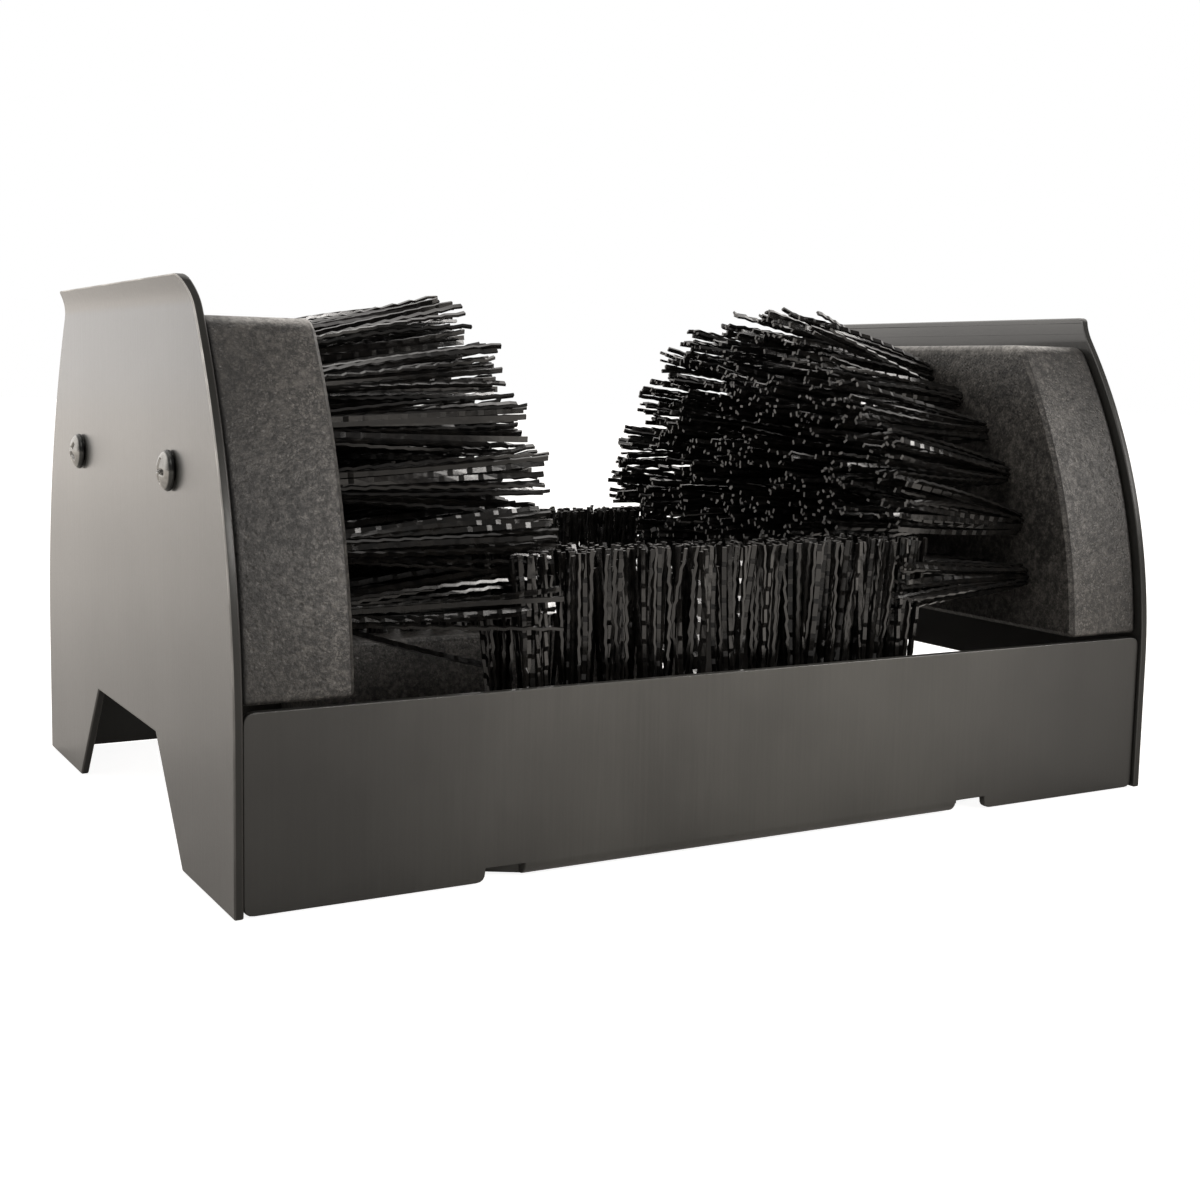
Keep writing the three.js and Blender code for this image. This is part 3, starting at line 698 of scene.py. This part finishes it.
sideBrush = {"centre": 58.0, "rings": (73.0, 56.0, 39.0, 22.0, 7.0), "tufts": (14, 11, 8, 5, 2),
             "lowest": 65.0, "length": 60.6, "trim": 0.5, "wear": 1.3, "inner": 115.0, "perTuft": 24,
             "rootRadius": 3.2, "widths": (0.8, 1.12), "splay": 0.155, "fan": 0.078,
             "tuftLean": 0.035, "filamentLean": 0.028, "bow": 0.8, "strays": 0.03,
             "strayLean": 0.08, "halfDepth": 96.5, "highest": 146.5}


def sideTufts(look):
    # Tufts on half rings about a centre low on the block: rows of (y, z)
    rows = []
    for radius, count in zip(look["rings"], look["tufts"]):
        first = min(math.asin(min(1.0, (look["lowest"] - look["centre"]) / radius)), math.pi / 4)
        angle = np.linspace(first, np.pi - first, count)
        rows.append(np.stack([radius * np.cos(angle), look["centre"] + radius * np.sin(angle)], -1))
    return np.concatenate(rows)


def makeSideBristles(side, loose):
    # Each filament leans out from the ring centre by splay, with its tuft and by itself, and its
    # tip stays within halfDepth and highest. The loose filaments are given as root, tip, bow and
    # turn, as seen on this brush alone.
    look = sideBrush
    places = sideTufts(look)
    tufts = np.repeat(places, look["perTuft"], 0)
    count = len(tufts)
    offset = tuftDisc(len(places), look["perTuft"])
    root = np.concatenate([np.full((count, 1), look["inner"]), tufts + offset * look["rootRadius"]], 1)
    lean = (tufts - np.array([0, look["centre"]])) / look["rings"][0] * look["splay"]
    lean += np.repeat(random.normal(0, look["tuftLean"], (len(places), 2)), look["perTuft"], 0)
    lean += offset * look["fan"] + random.normal(0, look["filamentLean"], (count, 2))
    stray = random.uniform(0, 1, count) < look["strays"]
    lean += stray[:, None] * random.normal(0, look["strayLean"], (count, 2))
    direction = np.concatenate([-np.ones((count, 1)), lean], 1)
    direction /= np.linalg.norm(direction, axis=1, keepdims=True)
    length = look["length"] + random.normal(0, look["trim"], count)
    length -= np.abs(random.normal(0, look["wear"], count))
    tip = root + direction * length[:, None]
    tip[:, 1] = np.clip(tip[:, 1], -look["halfDepth"], look["halfDepth"])
    tip[:, 2] = np.minimum(tip[:, 2], look["highest"])
    root = root - direction * filament["sunk"]
    bow = np.concatenate([np.zeros((count, 1)), random.normal(0, look["bow"], (count, 2))], 1)
    root = np.concatenate([root, [each[0] for each in loose]])
    tip = np.concatenate([tip, [each[1] for each in loose]])
    bow = np.concatenate([bow, [each[2] for each in loose]])
    width = filament["width"] * random.uniform(*look["widths"], len(root))
    points, quads, isCut = makeFilaments(root, tip, bow, width, [each[3] for each in loose])
    quads = quads[:, ::-1] if side > 0 else quads
    return points * np.array([side, 1.0, 1.0]), quads, isCut


looseFilaments = {
    "left": [((114.6, -72.0, 62.6), (59.0, -58.7, 45.6), (0.0, -1.0, -0.6), 3.67)],
    "right": [((114.6, -9.0, 130.5), (62.0, -33.4, 145.2), (0.0, 0.6, 0.8), 0.5)],
}
for sideName, side in sides:
    points, quads, isCut = makeSideBristles(side, looseFilaments[sideName])
    bristles = addQuads(f"{sideName}Bristles", points, quads, [bristleMaterial, cutMaterial], isCut)
    standFor(bristles, "bristle", f"{sideName}_brush_bristles")

floorBrush = {"offset": 75.0, "pitch": 12.0, "count": 12, "rowSpacing": 8.5, "perTuft": 20,
              "rootRadius": 3.4, "widths": (0.75, 1.05), "top": 35.6, "halfLength": 70.0,
              "tips": {"front": 79.0, "rear": 75.5}, "trim": 0.35, "splay": 0.05, "fan": 0.05,
              "filamentLean": 0.035, "bow": 0.5, "short": 0.06, "shortBy": (1.5, 8.0)}


def makeFloorBristles(endName, end):
    # Upright filaments trimmed to one height, all but a few short ones
    look = floorBrush
    rows = []
    for row in (0, 1):
        count = look["count"] - row
        x = (np.arange(count) - (count - 1) / 2) * look["pitch"]
        rows.append(np.stack([x, np.full(count, (row - 0.5) * look["rowSpacing"])], -1))
    places = np.concatenate(rows)
    tufts = np.repeat(places, look["perTuft"], 0)
    count = len(tufts)
    offset = tuftDisc(len(places), look["perTuft"])
    root = np.concatenate([tufts + offset * look["rootRadius"], np.full((count, 1), look["top"])], 1)
    root[:, 1] += look["offset"]
    lean = tufts / look["halfLength"] * look["splay"] + offset * look["fan"]
    lean += random.normal(0, look["filamentLean"], (count, 2))
    rise = look["tips"][endName] - look["top"] + random.normal(0, look["trim"], count)
    isShort = random.uniform(0, 1, count) < look["short"]
    rise -= isShort * random.uniform(*look["shortBy"], count)
    direction = np.concatenate([lean, np.ones((count, 1))], 1)
    tip = root + direction * rise[:, None]
    root = root - direction * filament["sunk"]
    bow = np.concatenate([random.normal(0, look["bow"], (count, 2)), np.zeros((count, 1))], 1)
    width = filament["width"] * random.uniform(*look["widths"], count)
    points, quads, isCut = makeFilaments(root, tip, bow, width)
    quads = quads[:, ::-1] if end < 0 else quads
    return points * np.array([1.0, end, 1.0]), quads, isCut


for endName, end in ends:
    points, quads, isCut = makeFloorBristles(endName, end)
    bristles = addQuads(f"{endName}FloorBristles", points, quads, [bristleMaterial, cutMaterial],
                        isCut)
    standFor(bristles, "bristle", f"{endName}_floor_brush_bristles")
print("bristles made")


# Screws: a turned head whose face is cut by a cross recess

screwFace = {"innerRings": (0.04, 0.62, 26), "outerRings": (0.66, 1, 12), "around": 96, "dome": 0.5,
             "rimDrop": 0.28, "armEnd": 0.12, "armSide": 0.07, "taper": 0.35, "shallowest": 0.2}


def screwHead(look, angle, turn):
    # Heights over a polar grid: a shallow dome, height (1 - dome s^2 - rimDrop s^8) at share s of
    # the radius, less a cross whose walls fall over armEnd and armSide and whose floor rises
    # towards the ends of its arms
    rings = np.concatenate([np.linspace(*screwFace["innerRings"]),
                            np.linspace(*screwFace["outerRings"])])
    share = np.repeat(rings[:, None], len(angle), 1)
    x = share * look["radius"] * np.cos(angle)
    y = share * look["radius"] * np.sin(angle)
    level = look["height"] * (1 - screwFace["dome"] * share ** 2 - screwFace["rimDrop"] * share ** 8)
    u = np.abs(x * math.cos(turn) + y * math.sin(turn))
    v = np.abs(y * math.cos(turn) - x * math.sin(turn))

    def within(value, edge, width):
        return 1 / (1 + np.exp(-(edge - value) / width))

    arms = [within(far, look["recessArm"], screwFace["armEnd"])
            * within(near, look["recessHalf"], screwFace["armSide"])
            for far, near in ((u, v), (v, u))]
    rising = 1 - screwFace["taper"] * np.sqrt(u ** 2 + v ** 2) / look["recessArm"]
    cut = np.maximum(*arms) * np.clip(rising, screwFace["shallowest"], 1)
    return np.stack([x, y, level - look["recessDepth"] * cut], -1)


def makeScrew(look, turn, profile):
    # Head face, then rings of the profile (radius, level) down to the point, all round the axis
    angle = np.linspace(0, 2 * np.pi, screwFace["around"] + 1)[:-1]
    radius, level = np.array(profile).T[:, :, None]
    body = np.stack([radius * np.cos(angle), radius * np.sin(angle), level + 0 * angle], -1)
    rings = np.concatenate([screwHead(look, angle, turn), body])
    return rings.reshape(-1, 3), tubeFaces(len(rings), len(angle), True)


sideScrew = {"face": 145.3, "height": 3.0, "radius": 5.15, "rim": 0.985, "rimHeight": 0.12,
             "under": 0.95, "shank": 2.4, "length": 22.0, "point": 4.0, "tip": 0.25, "y": 48.0,
             "z": 99.0, "recessArm": 2.9, "recessHalf": 0.62, "recessDepth": 1.9,
             "turn": {"left": 0.35, "right": 0.9}, "endTurn": 0.5}

for sideName, side in sides:
    for endName, end in ends:
        look = sideScrew
        profile = [(look["radius"] * look["rim"], look["rimHeight"]),
                   (look["radius"] * look["under"], 0.0), (look["shank"], 0.0),
                   (look["shank"], look["point"] - look["length"]),
                   (look["shank"] * look["tip"], -look["length"])]
        points, faces = makeScrew(look, look["turn"][sideName] + look["endTurn"] * end, profile)
        placed = np.stack([side * (look["face"] + points[:, 2]), points[:, 0] + end * look["y"],
                           points[:, 1] * side + look["z"]], -1)
        screw = addMesh(f"{sideName}{endName.capitalize()}Screw", placed, faces, [screwMaterial],
                        smooth=40)
        standFor(screw, "screw", f"{sideName}_{endName}_screw")

floorScrew = {"face": 0.3, "height": 0.0, "radius": 4.1, "shank": 2.1, "length": 20.0, "point": 4.0,
              "tip": 0.3, "blunt": 0.3, "x": 45.0, "y": 73.0, "recessArm": 2.2, "recessHalf": 0.55,
              "recessDepth": 1.3, "turn": 0.4, "sideTurn": 0.7, "endTurn": 0.3}

for endName, end in ends:
    for sideName, side in sides:
        look = floorScrew
        profile = [(look["shank"], look["shank"] - look["radius"]),
                   (look["shank"], look["point"] - look["length"]),
                   (look["shank"] * look["tip"], look["blunt"] - look["length"])]
        turn = look["turn"] + look["sideTurn"] * side + look["endTurn"] * end
        points, faces = makeScrew(look, turn, profile)
        placed = np.stack([points[:, 0] + side * look["x"], -points[:, 1] + end * look["y"],
                           look["face"] - points[:, 2]], -1)
        screw = addMesh(f"{endName}{sideName.capitalize()}FloorScrew", placed, faces, [screwMaterial],
                        smooth=40)
        standFor(screw, "screw", f"{endName}_{sideName}_floor_screw")
print("screws made")


# Floor, world and lamps

studio = {"floorSize": 12.0, "floorLevel": -0.0006, "floorColour": (0.5, 0.485, 0.465, 1),
          "floorRough": 0.9, "floorSeen": 0.9, "floorNear": 0.04, "floorFar": 0.42,
          "floorFurthest": 0.85, "farReach": (0.12, 0.6), "furthestReach": (0.7, 1.8),
          "floorTint": (1.0, 0.93, 0.85, 1), "white": (1, 1, 1, 1), "tint": (1.0, 0.965, 0.93, 1),
          "rear": 1.28, "rearTurn": (-0.2, 0.3), "frontLeft": 0.3, "frontRight": 0.02,
          "frontTurn": (-0.5, 0.5), "above": 0.17, "aboveTurn": (0.6, 0.85), "seen": 1.0}


def makeFloor(look):
    # Pale and lit by the lamps, and white to the camera. What it gives to other rays goes from
    # floorNear by the object, a painted shadow there, to floorFar all round it, and on to floorFurthest.
    half = look["floorSize"] / mm / 2
    level = look["floorLevel"] / mm
    points = [(-half, -half, level), (half, -half, level), (half, half, level), (-half, half, level)]
    material, tree, shader, coordinates = newMaterial("paleFloor")
    put(tree, shader["Base Color"], look["floorColour"])
    put(tree, shader["Roughness"], look["floorRough"])
    put(tree, shader["Specular IOR Level"], 0.0)
    away = node(tree, "ShaderNodeVectorMath", {0: coordinates}, operation="LENGTH").outputs["Value"]
    further = look["floorFurthest"] - look["floorFar"]
    # Dim by the object, a painted shadow in what the floor gives other rays
    given = math2(tree, "ADD",
                  remap(tree, away, *look["farReach"], look["floorNear"], look["floorFar"]),
                  remap(tree, away, *look["furthestReach"], 0.0, further))
    seen = tree.nodes.new("ShaderNodeLightPath").outputs["Is Camera Ray"]
    put(tree, shader["Emission Color"], mixColour(tree, seen, look["floorTint"], look["white"]))
    put(tree, shader["Emission Strength"], mixValue(tree, seen, given, look["floorSeen"]))
    floor = addMesh("studioFloor", points, [[0, 1, 2, 3]], [material])


def makeWorld(look):
    # White where the camera looks. Other rays find it bright behind the object, dim in front,
    # and lit from above.
    world = bpy.data.worlds.new("studio")
    bpy.context.scene.world = world
    world.use_nodes = True
    tree = world.node_tree
    tree.nodes.clear()
    output = tree.nodes.new("ShaderNodeOutputWorld")
    background = tree.nodes.new("ShaderNodeBackground")
    direction = split(tree, tree.nodes.new("ShaderNodeTexCoord").outputs["Generated"])
    front = remap(tree, direction["X"], *look["frontTurn"], look["frontLeft"], look["frontRight"])
    around = mixValue(tree, remap(tree, direction["Y"], *look["rearTurn"]), front, look["rear"])
    above = remap(tree, direction["Z"], *look["aboveTurn"], 0.0, look["above"])
    given = math2(tree, "ADD", around, above)
    seen = tree.nodes.new("ShaderNodeLightPath").outputs["Is Camera Ray"]
    put(tree, background.inputs["Color"], mixColour(tree, seen, look["tint"], look["white"]))
    put(tree, background.inputs["Strength"], mixValue(tree, seen, given, look["seen"]))
    tree.links.new(background.outputs["Background"], output.inputs["Surface"])


makeFloor(studio)
makeWorld(studio)

lamps = {
    "keyLeft": {"at": (-0.75, -0.55, 0.95), "aim": (0, 0, 0.06), "size": 0.5, "power": 1.5},
    "fillRight": {"at": (0.9, -0.9, 0.6), "aim": (0, 0, 0.06), "size": 0.4, "power": 5.4},
    "top": {"at": (0.0, 0.15, 1.1), "aim": (0, 0, 0), "size": 0.7, "power": 1.5},
    "front": {"at": (0.3, -1.25, 0.6), "aim": (0, 0, 0.06), "size": 0.22, "power": 4.6},
    "rearRight": {"at": (0.9, 0.45, 0.8), "aim": (0, 0, 0.08), "size": 0.5, "power": 0.5},
}


def aimAt(place, target):
    return (Vector(target) - Vector(place)).to_track_quat("-Z", "Y").to_euler()


for name, look in lamps.items():
    data = bpy.data.lights.new(name, "AREA")
    data.shape = "SQUARE"
    data.size = look["size"]
    data.energy = look["power"]
    data.color = studio["tint"][:3]
    lamp = bpy.data.objects.new(name, data)
    lamp.location = look["at"]
    lamp.rotation_euler = aimAt(look["at"], look["aim"])
    bpy.context.scene.collection.objects.link(lamp)

# Camera

view = {"lens": 49.36, "sensor": 36.0, "shiftY": -0.0284, "nearest": 0.01,
        "turn": (83.452, -1.198, -29.863), "at": (-0.25489, -0.44955, 0.1239)}
cameraData = bpy.data.cameras.new("view")
cameraData.lens = view["lens"]
cameraData.sensor_width = view["sensor"]
cameraData.shift_y = view["shiftY"]
cameraData.clip_start = view["nearest"]
camera = bpy.data.objects.new("view", cameraData)
camera.location = view["at"]
camera.rotation_euler = [math.radians(value) for value in view["turn"]]
bpy.context.scene.collection.objects.link(camera)
bpy.context.scene.camera = camera
bpy.context.scene.view_settings.view_transform = "Standard"
print("studio made")
